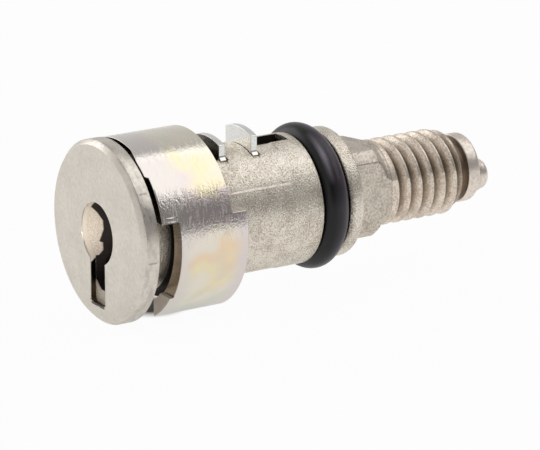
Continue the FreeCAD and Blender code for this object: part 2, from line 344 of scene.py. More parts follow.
def turnShare(up, across):
    # angle round an axis, from nought to one
    return total(mathNode("DIVIDE", mathNode("ARCTAN2", up, across), 2 * math.pi), 0.5)


def mixColour(factor, first, second):
    node = factor.id_data.nodes.new("ShaderNodeMix")
    node.data_type = "RGBA"
    for name, value in (("Factor", factor), ("A", first), ("B", second)):
        give([s for s in node.inputs if s.name == name and s.enabled][0], value)
    return [s for s in node.outputs if s.enabled][0]


def bump(height, strength, distance, before=None):
    node = height.id_data.nodes.new("ShaderNodeBump")
    feed(node, Height=height, Strength=strength, Distance=distance * mm)
    if before is not None:
        feed(node, Normal=before)
    return node.outputs["Normal"]


# Face cap

capShape = {
    "bevelAcross": 0.42,
    "bevelAlong": 0.41,
    "lipReach": 0.5,
    "lipDepth": 0.3,
    "keyRadius": 2.76,
    "keyDrop": 0.1,
    "slotHalf": 1.28,
    "slotDrop": 6.6,
    "slotCorner": 0.35,
    "mouthRound": 0.07,
    "edgeRound": 0.1,
    "faceMargin": 1.2,        # outer part of the face that is built of true circles
    # points along the round hole, a side, a corner and the bottom of the slot
    "steps": (180, 26, 6, 10),
}

capMetal = {
    "light": (0.86, 0.8, 0.71),
    "dark": (0.76, 0.7, 0.62),
    "rimReflectionDark": (0.56, 0.52, 0.49),
    # painted shade: brown of the slot's walls, which the two rim marks also take
    "slotShade": (0.12, 0.095, 0.07),
    # painted shade: near black in the round hole and at the top of the slot
    "slotTopShade": (0.025, 0.02, 0.017),
    # painted light: pale, non-metal colour of the lit left wall of the key opening, also used in the bore
    "litWall": (0.92, 0.8, 0.66),
    "roughness": (0.26, 0.4),
    "grain": 2.6,
    "patch": 0.45,
    "bump": 0.01,
    "round": 8.0,                  # millimetres round the rim to a radian
    "streaks": (0.6, 1.5),         # round the rim and along it
    "rim": (0.12, 0.06),           # inside the outer radius, and blend
    # short marks across the rim: degrees, then half width and blend round it, and station,
    # half length and blend along it
    "marks": (38.0, -5.0),
    "markAround": (0.07, 0.12),
    "markAlong": (0.95, 0.4, 0.3),
    # painted shade in the walls of the key opening and painted light on its left wall: each a limit, or a
    # middle and half width, with its blend
    "behindFace": (0.09, 0.04),
    "roundWall": (0.14, 0.04),     # outside the hole's radius
    "slotAcross": (0.0, 1.34, 0.04),
    "slotFrom": (-2.4, 0.1),
    "slotReach": (6.9, 0.1),
    "litSide": (-0.9, 0.1),
    "litLow": (3.1, 0.8, 0.1),     # lowest lit point at the face, its rise inwards, and blend
}


def capMetalMaterial(name, s):
    # satin plate: mottled face, painted dark reflection streaks round the rim, two short marks across it,
    # painted shade in the key opening and painted light on its left wall
    material, tree, shader = newMaterial(name)
    point = objectPoint(tree)
    x, y, z = splitPoint(point)
    radius = radiusFrom(x, z)
    mottle = noiseTexture(point, s["grain"], 4.0, 0.65)
    patch = noiseTexture(point, s["patch"], 2.0, 0.5)
    both = total(product(mottle, 0.6), product(patch, 0.4))
    colour = ramp(both, [(0.38, s["dark"]), (0.6, s["light"])])

    # painted reflection: dark streaks that run round the rim
    turn = product(mathNode("ARCTAN2", z, x), s["round"])
    around, along = s["streaks"]
    spread = joinPoint(product(turn, around), product(y, along))
    streak = ramp(noiseTexture(spread, 1.0, 4.0, 0.62), [(0.45, 0.0), (0.62, 0.7)])
    inset, blend = s["rim"]
    onRim = above(radius, capRadius - inset, blend)
    colour = mixColour(product(streak, onRim), colour, s["rimReflectionDark"])
    for degrees in s["marks"]:
        mark = near(turn, math.radians(degrees) * s["round"], *s["markAround"])
        mark = product(mark, near(y, *s["markAlong"]), onRim, 0.5)
        colour = mixColour(mark, colour, s["slotShade"])

    # painted shade: the walls of the round hole near black, the slot's walls brown lower down
    within = above(y, *s["behindFace"])
    reach, blend = s["roundWall"]
    inHole = product(below(radius, capShape["keyRadius"] + reach, blend), within)
    inSlot = product(near(x, *s["slotAcross"]), within,
                     below(z, *s["slotFrom"]), below(radius, *s["slotReach"]))
    slotColour = ramp(product(z, -0.1), [(0.44, s["slotTopShade"]), (0.5, s["slotShade"])])
    colour = mixColour(inHole, colour, s["slotTopShade"])
    colour = mixColour(inSlot, colour, slotColour)
    # painted light: a pale, non-metal patch on the left wall, bounded where a shadow edge would fall
    lowest, rise, blend = s["litLow"]
    edge = mathNode("SUBTRACT", lowest, product(y, rise))
    lit = product(largest(inHole, inSlot), below(x, *s["litSide"]),
                  below(product(z, -1.0), edge, blend))
    low, high = s["roughness"]
    feed(shader, Base_Color=mixColour(lit, colour, s["litWall"]), Metallic=inverse(lit),
         Roughness=ramp(mottle, [(0.35, high), (0.65, low)]), Normal=bump(mottle, 0.5, s["bump"]))
    return material


def keyholeOutline(grow=0.0):
    # round hole with a slot below it, as points in X and Z seen from the centre
    s = capShape
    arcSteps, sideSteps, cornerSteps, bottomSteps = s["steps"]
    radius = s["keyRadius"] + grow
    half = s["slotHalf"] + grow
    bottom = -s["slotDrop"] - grow
    corner = s["slotCorner"]
    opening = math.asin(s["slotHalf"] / s["keyRadius"])
    points = []

    def addCorner(x, start, first):
        for k in range(first, cornerSteps + 1):
            angle = start + math.pi / 2 * k / cornerSteps
            points.append((x + corner * math.cos(angle), bottom + corner + corner * math.sin(angle)))

    for k in range(arcSteps + 1):
        angle = -math.pi / 2 + opening + (2 * math.pi - 2 * opening) * k / arcSteps
        points.append((radius * math.cos(angle), radius * math.sin(angle) - s["keyDrop"]))
    sideTop = points[-1][1]
    for k in range(1, sideSteps + 1):
        points.append((-half, sideTop + (bottom + corner - sideTop) * k / sideSteps))
    addCorner(-half + corner, math.pi, 1)
    for k in range(1, bottomSteps):
        points.append((-half + corner + 2 * (half - corner) * k / bottomSteps, bottom))
    addCorner(half - corner, 1.5 * math.pi, 0)
    for k in range(1, sideSteps):
        points.append((half, bottom + corner + (sideTop - bottom - corner) * k / sideSteps))
    return points


def makeFaceCap():
    s = capShape
    outline = keyholeOutline()
    angles = [math.atan2(z, x) for x, z in outline]
    mouth = s["mouthRound"]
    inner = capRadius - capWall
    lip = inner - s["lipReach"]
    flat = capRadius - s["bevelAcross"]
    profile = [
        (flat - s["faceMargin"], 0.0), (flat, 0.0), (capRadius, s["bevelAlong"]), (capRadius, capRear),
        (lip, capRear), (lip, capRear - s["lipDepth"]), (inner, capRear - s["lipDepth"]), (inner, capWall),
    ]
    radii = [0, s["edgeRound"], s["edgeRound"], 0.1, 0.05]
    holes = [(outline, capWall), (outline, mouth), (keyholeOutline(mouth * 0.3), mouth * 0.3),
             (keyholeOutline(mouth), 0.0)]
    rings = [[Vector((x, station, z)) for x, z in points] for points, station in holes]
    for radius, station in roundCorners(profile, radii):
        rings.append([Vector((radius * math.cos(a), station, radius * math.sin(a))) for a in angles])
    cap = buildMesh("faceCap", rings, loop=True)
    finishPiece(cap, capMetalMaterial("satin_cap", capMetal), "plug", ["face_cap"], limit=30.0)


makeFaceCap()
print("face cap done")


# Cast metal of the plug, with painted shade in its openings and painted light at the mouth of the key
# opening

castMetal = {
    "light": (1.0, 0.93, 0.81),
    "dark": (0.6, 0.52, 0.43),
    "tones": (0.41, 0.56),        # where the mottle is fully dark and fully light
    "roughness": (0.22, 0.42),
    "grain": 7.0,                 # grains per millimetre
    "fine": 2.3,                  # how many times finer the second grain is
    "patch": 0.55,
    "bump": 0.07,
}

boreTone = {
    # painted light on the mouth of the bore, its darker grain
    "litDark": (0.72, 0.6, 0.48),
    # painted shade, near black
    "deep": (0.018, 0.011, 0.008),
    # painted shadow beside the seal ring
    "flangeShadow": (0.06, 0.055, 0.05),
    # painted highlight colour of the relief step
    "stepHighlight": (1.0, 0.97, 0.9),
    # each mask: a limit and its blend, or a middle, half width and blend
    "headFace": (0.64, 0.04),
    "roundWall": (2.55, 0.04),
    "slotAcross": (0.0, 1.5, 0.02),
    "slotReach": (5.45, 0.1),
    "barrelEnd": (19.2, 0.1),
    "underSkin": (5.66, 0.05),
    "underTop": (5.4, 0.02),
    "behindHead": (1.8, 0.1),
    "sleeveFrom": (3.95, 0.15),
    "sleeveTo": (9.2, 0.2),
    "topSlotAcross": (0.0, 1.07, 0.02),
    "topSlotAlong": (16.55, 2.12, 0.04),
    "topSlotRim": (5.73, 0.04),
    "topSlotFloor": (3.0, 0.1),
    "ledgeTop": (-4.4, 0.1),
    "stepHighlightBand": (16.72, 0.05, 0.2),
    # painted shadow: a dark grainy band in front of the flange, beside the seal ring
    "flangeShadowAlong": (22.3, 0.25, 0.5),        # in front of the flange's edge
    "flangeShadowUp": (-0.4, 3.0, 2.6),
    # how far the painted light on the bore wall runs in: greatest depth, blend, and shares of that depth
    # round the bore
    "litDepth": 3.0,
    "litBlend": 0.12,
    "reach": [(0.0, 0.713), (0.044, 0.713), (0.07, 0.62), (0.08, 0.583), (0.097, 0.503), (0.1, 0.503),
              (0.108, 0.6), (0.147, 0.517), (0.173, 0.3), (0.2, 0.0), (0.86, 0.0), (0.883, 0.157),
              (0.95, 0.51), (1.0, 0.713)],
}


def darkInside(point, colour, grain):
    # painted light at the mouth of the key opening and on the ledge of the head; painted shade deeper in, in
    # the wafer slots, in the top slot and under the sleeve
    s = boreTone
    x, y, z = splitPoint(point)
    radius = radiusFrom(x, z)
    reach, blend = capMetal["roundWall"]
    inRound = below(radius, capShape["keyRadius"] + reach, blend)
    inSlot = product(near(x, *s["slotAcross"]), below(radius, *s["slotReach"]))
    # painted shade: inside the key bore, in the slots under the skin, in the top slot and under the sleeve
    inside = product(largest(inRound, inSlot), above(y, *s["headFace"]),
                     below(y, *s["barrelEnd"]))
    slots = product(below(radius, *s["underSkin"]), below(z, *s["underTop"]),
                    below(y, *s["barrelEnd"]), above(y, *s["behindHead"]))
    topSlot = product(near(x, *s["topSlotAcross"]), below(z, *s["topSlotRim"]),
                      near(y, *s["topSlotAlong"]), above(z, *s["topSlotFloor"]))
    covered = product(below(y, *s["sleeveTo"]), above(y, *s["sleeveFrom"]))
    paintedShade = largest(inside, slots, topSlot, covered)

    # painted light: a pale, non-metal patch on the bore's wall near the mouth, and on the ledge of the head
    depth = product(ramp(turnShare(z, x), s["reach"]), s["litDepth"])
    mouth = product(below(y, depth, s["litBlend"]),
                    mathNode("SUBTRACT", inRound, below(radius, *s["roundWall"])))
    ledge = product(below(y, *s["headFace"]), below(z, *s["ledgeTop"]))
    paintedLight = largest(mouth, ledge)

    # painted highlight: a pale band along the relief step
    colour = mixColour(product(near(y, *s["stepHighlightBand"]), 0.5), colour, s["stepHighlight"])
    # painted shadow in front of the flange, grainy
    flangeShadow = product(near(y, *s["flangeShadowAlong"]), near(z, *s["flangeShadowUp"]),
                    ramp(grain, [(0.35, 1.0), (0.65, 0.45)]))
    colour = mixColour(flangeShadow, colour, s["flangeShadow"])
    colour = mixColour(paintedShade, colour, s["deep"])
    lit = ramp(grain, [(0.4, s["litDark"]), (0.6, capMetal["litWall"])])
    return mixColour(paintedLight, colour, lit), paintedShade, paintedLight


def castMetalMaterial(name, s, bore=False):
    material, tree, shader = newMaterial(name)
    point = objectPoint(tree)
    grain = noiseTexture(point, s["grain"], 3.0, 0.6)
    patch = noiseTexture(point, s["patch"], 3.0, 0.55)
    fine = noiseTexture(point, s["grain"] * s["fine"], 2.0, 0.5)
    both = total(product(grain, 0.65), product(patch, 0.35))
    darkest, lightest = s["tones"]
    colour = ramp(both, [(darkest, s["dark"]), (lightest, s["light"])])
    if "valley" in s:
        x, y, z = splitPoint(point)
        low, high = [radius * 0.2 for radius in s["valleyRadii"]]
        hollow = ramp(product(radiusFrom(x, z), 0.2), [(low, 1.0), (high, 0.0)])
        colour = mixColour(hollow, colour, s["valley"])
    low, high = s["roughness"]
    rough = ramp(grain, [(0.35, high), (0.65, low)])
    if bore:
        colour, paintedShade, paintedLight = darkInside(point, colour, grain)
        rough = largest(rough, product(paintedShade, 0.8))
        feed(shader, Metallic=inverse(largest(paintedLight, paintedShade)))
    else:
        feed(shader, Metallic=1.0)
    coarse = bump(grain, 0.6, s["bump"])
    feed(shader, Base_Color=colour, Roughness=rough, Normal=bump(fine, 0.5, s["bump"] * 0.6, coarse))
    return material


def finishCast(obj, material, limit=38.0):
    finishPiece(obj, material, "plug", ["plug"], limit)


# Raised lines, used on the barrel and the sleeve

def makeLines(name, lines, surface, height, sunk=0.06, foot=0.01):
    # each line is a low ridge on a round surface: angles from and to, stations from and to
    bm = bmesh.new()
    for low, high, start, end in lines:
        steps = max(2, int((high - low) / 1.4))
        slope = min(height, (end - start) / 3)
        last = None
        for k in range(steps + 1):
            angle = math.radians(low + (high - low) * k / steps)
            top = height * (0.3 if k == steps else 1.0)
            ring = []
            for lift, station in ((-sunk, start), (-foot, start), (top, start + slope),
                                  (top, end - slope), (-foot, end), (-sunk, end)):
                radius = (surface + lift) * mm
                ring.append(bm.verts.new((radius * math.cos(angle), station * mm, radius * math.sin(angle))))
            if last is None:
                bm.faces.new(ring)
            else:
                for i in range(6):
                    j = (i + 1) % 6
                    bm.faces.new((last[i], last[j], ring[j], ring[i]))
            last = ring
        bm.faces.new(last)
    bmesh.ops.recalc_face_normals(bm, faces=bm.faces)
    return meshObject(name, bm)


# Plug: head, barrel, groove and flange, with the slots for the wafers and their springs

barrelShape = {
    "core": 0.4,                  # radius at which the turned profile is closed
    "headRadius": 7.53,
    "headDepth": 0.78,
    "radius": 5.88,
    "relief": 0.06,
    "collarStart": 5.2,
    "collarEnd": 8.6,
    "collarRadius": 6.45,
    "reliefEnd": 16.6,
    "reliefSlope": 4,             # length of the slope to its height
    "end": 19.5,
    "grooveRadius": 4.05,
    "grooveWidth": 2.7,
    "flangeRadius": 5.85,
    "flangeWidth": 1.5,
    "flangeEdge": 0.3,
    "flangeInner": 4.4,
    "edge": 0.045,
    "boreDepth": 4.0,
    "keywayEnd": 17.3,
    "keywayDrop": 5.33,
    "keywaySides": (0.12, 0.06),        # wider than the cap's slot by this, left and right
    "keywayCorner": (1.0, 0.72),        # slanted corner of the floor, across and up
    "ledgeHeights": (6.1, 5.32),        # flat beside the top slot, over the middle and at its outer edge
    "ledgeHalf": 2.4,
    "ledgeLength": 2.7,
    "topSlotHalf": 1.05,
    "topSlotEnd": 18.7,
    "pocketLength": 0.95,
    "pocketFloor": 4.9,
    # raised parting line: angles from and to, stations from and to
    "line": (30.8, 33.0, 10.0, 16.58),
    "lineHeight": 0.035,
    "burrHeight": 0.2,
    "notchReach": 0.42,
    "notchDepth": 0.04,
    "notchTop": 6.5,
    "notchFloor": 4.6,
}

waferShape = {
    "first": 4.45,
    "pitch": 3.25,
    "thickness": 0.62,
    "half": 2.175,
    "slotGap": 0.05,
    "sideGap": 0.1,
    "windowHalf": 1.45,
    "windowTop": 3.2,
    "windowBottom": 4.2,
    "lugReach": 1.5,
    "lugDrop": 0.3,
    "lugHeight": 1.2,
    "lugRoot": 0.3,
    "lugTopGap": 0.05,
    "lugSlotReach": 1.48,
    "edge": 0.06,
    "shaded": 2,        # the plate whose front gets painted shade, close behind the sleeve
}

springShape = {
    "x": -3.015,
    "radius": 0.64,
    "wire": 0.1,
    "turns": 7.5,
    "turnSteps": 20,
    "sides": 8,
    "floor": -3.5,
    "holeRadius": 0.74,
}

burrMetal = dict(castMetal, light=(1.0, 0.98, 0.94), dark=(0.94, 0.91, 0.86), roughness=(0.15, 0.25),
                 grain=4.0, patch=0.5, bump=0.002)
tipMetal = dict(castMetal, light=(0.95, 0.86, 0.77), dark=(0.8, 0.7, 0.61), roughness=(0.32, 0.46),
                grain=4.0, patch=0.5, bump=0.01)
matTip = castMetalMaterial("cast_tip", tipMetal)

waferLifts = [nodeBox("wafer_%d" % (k + 1))[1].z - barrelShape["radius"] for k in range(4)]
relievedRadius = barrelShape["radius"] - barrelShape["relief"]
waferSlotHalf = waferShape["half"] + waferShape["sideGap"]
slotEdgeHeight = math.sqrt(relievedRadius ** 2 - waferSlotHalf ** 2)        # where a slot ends on the barrel


def keyTools():
    # bore and keyway for the key
    s = barrelShape
    bore = lathe("boreTool", [(capShape["keyRadius"], capWall - 1), (capShape["keyRadius"], s["boreDepth"])],
                 96, drop=-capShape["keyDrop"])
    floor = -s["keywayDrop"]
    left = -capShape["slotHalf"] - s["keywaySides"][0]
    right = capShape["slotHalf"] + s["keywaySides"][1]
    across, up = s["keywayCorner"]
    outline = [(left, floor + up), (left + across, floor), (right, floor - 0.02), (right, 1.5), (left, 1.5)]
    return [bore, prism("wayTool", outline, capWall - 1, s["keywayEnd"])]


def topTools():
    # flat and slot behind the last wafer, and a pocket in front of the third
    s = barrelShape
    w = waferShape
    third, last = [w["first"] + w["pitch"] * k for k in (2, 3)]
    high, low = s["ledgeHeights"]
    outline = [(0.0, high), (s["ledgeHalf"], low), (s["ledgeHalf"], outside), (0.0, outside)]
    return [
        prism("ledgeTool", outline, last, last + s["ledgeLength"]),
        block("slotTool", (-s["topSlotHalf"], last + 0.3, 0), (s["topSlotHalf"], s["topSlotEnd"], outside)),
        block("pocketTool", (-w["half"], third - s["pocketLength"], s["pocketFloor"]),
              (w["half"], third + 0.1, outside)),
    ]


def waferTools(index, lift):
    # cross slot, notches at its open end, lug channel and spring hole of one wafer
    s = barrelShape
    w = waferShape
    half = waferSlotHalf
    start = w["first"] + w["pitch"] * index - w["slotGap"]
    end = start + w["thickness"] + 2 * w["slotGap"]
    surface = slotEdgeHeight - s["notchDepth"]
    inner, outer = half - 0.05, half + s["notchReach"]
    corners = [(inner, surface + 0.042), (outer, surface - s["notchReach"] * 0.84),
               (outer, s["notchTop"]), (inner, s["notchTop"])]
    floor = springShape["floor"]
    top = lift - w["lugDrop"] + w["lugHeight"] + w["lugTopGap"]
    middle = (start + end) / 2
    radius = springShape["holeRadius"]
    hole = []
    for z in (floor, top):
        turns = [math.pi * k / 12 for k in range(24)]
        hole.append([Vector((springShape["x"] + radius * math.cos(a), middle + radius * math.sin(a), z))
                     for a in turns])
    return [
        block("waferTool", (-half, start, -outside), (half, end, outside)),
        prism("notchTool", corners, start, end - 0.04),
        block("notchTool", (half - 0.4, end - 0.1, s["notchFloor"]), (half + 0.16, end + 0.16, outside)),
        block("lugTool", (-half - w["lugSlotReach"], start, floor), (-half + 0.2, end, top)),
        buildMesh("holeTool", hole),
    ]


def makeBarrel():
    s = barrelShape
    radius, collar = s["radius"], s["collarRadius"]
    groove, flange = s["grooveRadius"], s["flangeRadius"]
    relieved = relievedRadius
    headRear = capWall + s["headDepth"]
    grooveEnd = s["end"] + s["grooveWidth"]
    flangeRear = grooveEnd + s["flangeWidth"]
    # radius, station and rounding of each corner
    corners = [
        (s["core"], capWall, 0), (s["headRadius"], capWall, 0), (s["headRadius"], headRear, 0.05),
        (relieved, headRear, 0.12), (relieved, s["collarStart"], 0.12), (collar, s["collarStart"], 0),
        (collar, s["collarEnd"], 0.1), (relieved, s["collarEnd"], 0), (relieved, s["reliefEnd"], 0),
        (radius, s["reliefEnd"] + s["relief"] * s["reliefSlope"], 0), (radius, s["end"], 0.14),
        (groove, s["end"], 0.1), (groove, grooveEnd, 0.1), (flange, grooveEnd, 0.14),
        (flange, flangeRear, s["flangeEdge"]), (s["flangeInner"], flangeRear, 0), (s["core"], flangeRear, 0),
    ]
    profile = roundCorners([corner[:2] for corner in corners], [corner[2] for corner in corners])
    barrel = lathe("plugBarrel", profile, count=256)
    tools = keyTools() + topTools()
    for index, lift in enumerate(waferLifts):
        tools += waferTools(index, lift)
    cut(barrel, tools)
    softenEdges(barrel, s["edge"])
    finishCast(barrel, castMetalMaterial("cast_zinc", castMetal, bore=True))


def makePartingLine():
    s = barrelShape
    finishCast(makeLines("partingLine", [s["line"]], relievedRadius, s["lineHeight"]), matTip, limit=50.0)


def makeBurrs():
    # small bright burr at the end of each slot that the sleeve leaves open
    w = waferShape
    material = castMetalMaterial("cast_burr", burrMetal)
    edge = w["half"] + 0.03
    top = slotEdgeHeight + barrelShape["burrHeight"]
    corners = [(edge, top), (edge + 0.04, top), (edge + 0.27, slotEdgeHeight - 0.02),
               (edge + 0.2, slotEdgeHeight - 0.25), (edge, slotEdgeHeight - 0.25)]
    for k in (2, 3):
        start = w["first"] + w["pitch"] * k
        burr = prism("slotBurr%d" % (k + 1), corners, start + 0.02, start + w["thickness"] - 0.06)
        finishCast(burr, material, limit=20.0)


makeBarrel()
makePartingLine()
makeBurrs()
print("barrel done")


# Plug: square drive

driveShape = {
    "core": 0.4,
    "start": 23.7,
    "cornerRadius": 4.8,
    "squareEnd": 26.6,
    "slopeEnd": 27.5,
    "widenFrom": 26.7,
    "neckHalfWidth": 3.75,
    "end": 28.0,
    "halfHeight": 4.0,
    "halfWidth": 3.65,
    "neckRadius": 3.92,
    "edge": 0.12,
}

driveMetal = dict(castMetal, light=(0.84, 0.76, 0.66), dark=(0.6, 0.53, 0.45), roughness=(0.36, 0.52),
                  grain=5.0, patch=0.6, bump=0.04)


def makeDrive():
    s = driveShape
    profile = [(s["core"], s["start"]), (s["cornerRadius"], s["start"]), (s["cornerRadius"], s["squareEnd"]),
               (s["neckRadius"], s["slopeEnd"]), (s["neckRadius"], s["end"]), (s["core"], s["end"])]
    drive = lathe("plugDrive", roundCorners(profile, [0, 0, 0.6, 0.7, 0.0, 0]), count=192)
    high = s["halfHeight"]
    sides = []
    for half, station in ((s["halfWidth"], s["start"] - 1), (s["halfWidth"], s["widenFrom"]),
                          (s["neckHalfWidth"], s["end"]), (s["neckHalfWidth"], s["end"] + 1)):
        sides.append([Vector((x, station, z)) for x, z in (
            (-half, -high), (half, -high), (half, high), (-half, high))])
    cut(drive, [buildMesh("keepTool", sides)], "INTERSECT")
    softenEdges(drive, s["edge"])
    finishCast(drive, castMetalMaterial("cast_drive", driveMetal))


makeDrive()
print("drive done")


# Plug: thread

threadShape = {
    "start": 27.95,
    "firstTurn": 28.15,
    "runIn": 0.5,
    "end": 35.75,
    "radius": 3.92,
    "pitch": 1.25,
    "depth": 0.74,
    "crest": 0.22,
    "root": 0.12,
    "phase": -0.15,
    "halfWidth": 3.75,
    "chamfer": 0.5,
    "chamferSlope": 1.1,
    "columns": 144,
}

threadMetal = dict(castMetal, light=(1.0, 0.89, 0.77), dark=(0.7, 0.59, 0.48), roughness=(0.28, 0.44),
                   grain=5.5, patch=0.5, bump=0.05, valley=(0.22, 0.165, 0.12), valleyRadii=(3.16, 3.64))
matThread = castMetalMaterial("cast_thread", threadMetal)


def threadForm():
    # one turn in section: place along the pitch and share of the depth
    s = threadShape
    flank = (s["pitch"] - s["crest"] - s["root"]) / 2
    rise = s["root"] + flank
    fall = rise + s["crest"]
    return [(0.0, 0.0), (s["root"] * 0.5, 0.02), (s["root"], 0.06), (s["root"] + flank * 0.5, 0.5),
            (rise - 0.03, 0.93), (rise + 0.03, 1.0), (fall - 0.03, 1.0), (fall + 0.03, 0.93),
            (fall + flank * 0.5, 0.5), (s["pitch"] - 0.02, 0.06)]


def threadRadius(share, station):
    # the root deepens over the first turn, and the far end is chamfered
    s = threadShape
    ahead = min(max((station - s["firstTurn"]) / s["runIn"], 0.0), 1.0)
    root = s["radius"] - s["depth"] * ahead
    left = s["end"] - station
    return min(root + (s["radius"] - root) * share,
               s["radius"] - s["chamfer"] + max(left, 0.0) * s["chamferSlope"])


def makeThread():
    s = threadShape
    pitch = s["pitch"]
    columns = s["columns"]
    turns = int((s["end"] - s["start"]) / pitch) + 3
    bm = bmesh.new()
    grid = []
    for j in range(columns + 1):
        angle = 2 * math.pi * j / columns
        column = []
        for n in range(-2, turns):
            for place, share in threadForm():
                station = s["start"] + s["phase"] + pitch * (n - j / columns) + place
                station = min(max(station, s["start"]), s["end"])
                radius = threadRadius(share, station)
                point = Vector((radius * math.cos(angle), station, radius * math.sin(angle)))
                column.append(bm.verts.new(point * mm))
        grid.append(column)
    for left, right in zip(grid, grid[1:]):
        for k in range(len(left) - 1):
            bm.faces.new((left[k], right[k], right[k + 1], left[k + 1]))
    bmesh.ops.remove_doubles(bm, verts=bm.verts, dist=2e-6)
    bmesh.ops.dissolve_degenerate(bm, dist=1e-6, edges=bm.edges)
    bmesh.ops.holes_fill(bm, edges=[e for e in bm.edges if e.is_boundary], sides=0)
    bmesh.ops.recalc_face_normals(bm, faces=bm.faces)
    thread = meshObject("plugThread", bm)
    keep = block("keepTool", (-s["halfWidth"], s["start"] - 1, -outside),
                 (s["halfWidth"], s["end"] + 1, outside))
    cut(thread, [keep], "INTERSECT")
    finishCast(thread, matThread, limit=42.0)


makeThread()
print("thread done")


# Plug: tip

tipShape = {
    "core": 0.3,
    "start": 35.7,
    "grooveRadius": 2.75,
    "discStart": 36.7,
    "radius": 3.15,
    "discEnd": 38.0,
    "discRound": 0.3,
    # foot of the nose: radius, distance behind the disc and drop of the centre
    "foot": [(2.3, 0.02, 0.52), (2.01, 0.12, 0.88), (1.85, 0.4, 0.97)],
    "noseRadius": 1.41,
    "noseDrop": 0.97,
    "noseRound": 0.62,
    "noseSteps": 8,
    "noseFlat": 0.2,
}


def makeTip():
    # one skin from the relief over the end disc into the nose, whose centre lies lower
    s = tipShape
    grooveEnd = s["discStart"] + 0.2
    relief = lathe("plugRelief", [(s["core"], s["start"]), (s["grooveRadius"], s["start"]),
                                  (s["grooveRadius"], grooveEnd), (s["core"], grooveEnd)], count=96)
    finishCast(relief, matThread)
    outline = [(s["core"], s["discStart"]), (s["radius"], s["discStart"]), (s["radius"], s["discEnd"]),
               (s["radius"] - s["discRound"] - 0.25, s["discEnd"])]
    rings = [(p[0], p[1], 0.0) for p in roundCorners(outline, [0, 0.1, s["discRound"], 0])]
    rings += [(radius, s["discEnd"] + behind, drop) for radius, behind, drop in s["foot"]]
    turn = s["noseRound"]
    for k in range(s["noseSteps"] + 1):
        angle = math.pi / 2 * k / s["noseSteps"]
        radius = s["noseRadius"] - turn + turn * math.cos(angle)
        rings.append((radius, plugEnd - turn + turn * math.sin(angle), s["noseDrop"]))
    rings.append((s["noseFlat"], plugEnd, s["noseDrop"]))
    tip = buildMesh("plugTip", [ringPoints(radius, station, 128, -drop) for radius, station, drop in rings])
    finishCast(tip, matTip, limit=50.0)


makeTip()
print("tip done")


# Seal ring

rubber = {
    "light": (0.085, 0.07, 0.092),
    "dark": (0.006, 0.005, 0.007),
    "paintedHighlight": (0.66, 0.6, 0.7),
    "roughness": (0.26, 0.36),
    "grain": 4.0,
    "patch": 0.5,
    "bump": 0.008,
    "shine": 0.42,
    "paintedLightFrom": (20.7, 0.9),        # painted light: station and blend, towards the flange
    # painted highlight on the ring's front shoulder: station and angle, each with half width and blend
    "highlightStation": (20.32, 0.12, 0.42),
    "highlightAngle": (50.0, 10.0, 34.0),
    "sectionSteps": 48,
}


def rubberMaterial(name, s):
    # black rubber with painted light, a little violet, towards the flange and a painted highlight on its
    # front shoulder
    material, tree, shader = newMaterial(name)
    point = objectPoint(tree)
    x, y, z = splitPoint(point)
    grain = noiseTexture(point, s["grain"], 3.0)
    patch = noiseTexture(point, s["patch"], 2.0)
    # painted light: lighter violet over the side towards the flange
    share = product(above(y, *s["paintedLightFrom"]), ramp(patch, [(0.3, 0.5), (0.7, 1.0)]))
    colour = mixColour(share, s["dark"], s["light"])
    turn = product(mathNode("ARCTAN2", z, x), math.degrees(1))
    # painted highlight: pale patch on the front shoulder
    paintedHighlight = product(near(y, *s["highlightStation"]), near(turn, *s["highlightAngle"]))
    low, high = s["roughness"]
    feed(shader, Base_Color=mixColour(paintedHighlight, colour, s["paintedHighlight"]), Normal=bump(grain, 0.4, s["bump"]),
         Roughness=ramp(patch, [(0.3, high), (0.7, low)]), Specular_IOR_Level=s["shine"])
    return material


def makeSealRing():
    section = (sealHigh.y - sealLow.y) / 2
    middle = sealHigh.x - section
    steps = rubber["sectionSteps"]
    profile = []
    for k in range(steps):
        angle = 2 * math.pi * k / steps
        profile.append((middle + section * math.cos(angle), sealMiddle + section * math.sin(angle)))
    ring = lathe("sealRing", profile, count=192, loop=True)
    finishPiece(ring, rubberMaterial("black_rubber", rubber), "plug", ["seal_ring"])


makeSealRing()
print("seal ring done")


# Sleeve

sleeveShape = {
    "bore": 6.72,
    "start": 2.1,
    "frontStep": 3.78,
    "footStep": 3.45,
    "footHeight": -4.7,
    "rearStep": 9.0,
    "stepHeight": 2.38,
    "openingHalf": 3.65,
    "edge": 0.05,
    "rearEdge": 0.25,
    "nibReach": 0.32,
    "nibStart": 48.0,
    "nibFull": 61.0,
    "nibEnd": 72.0,
    # raised lines round the front lip: angles from and to, stations from and to
    "lines": [(17.3, 33.0, 3.58, 3.7), (17.4, 18.5, 2.2, 3.62), (20.0, 21.0, 2.3, 3.58),
              (17.4, 40.0, 2.16, 2.24)],
    "lineHeight": 0.06,
}

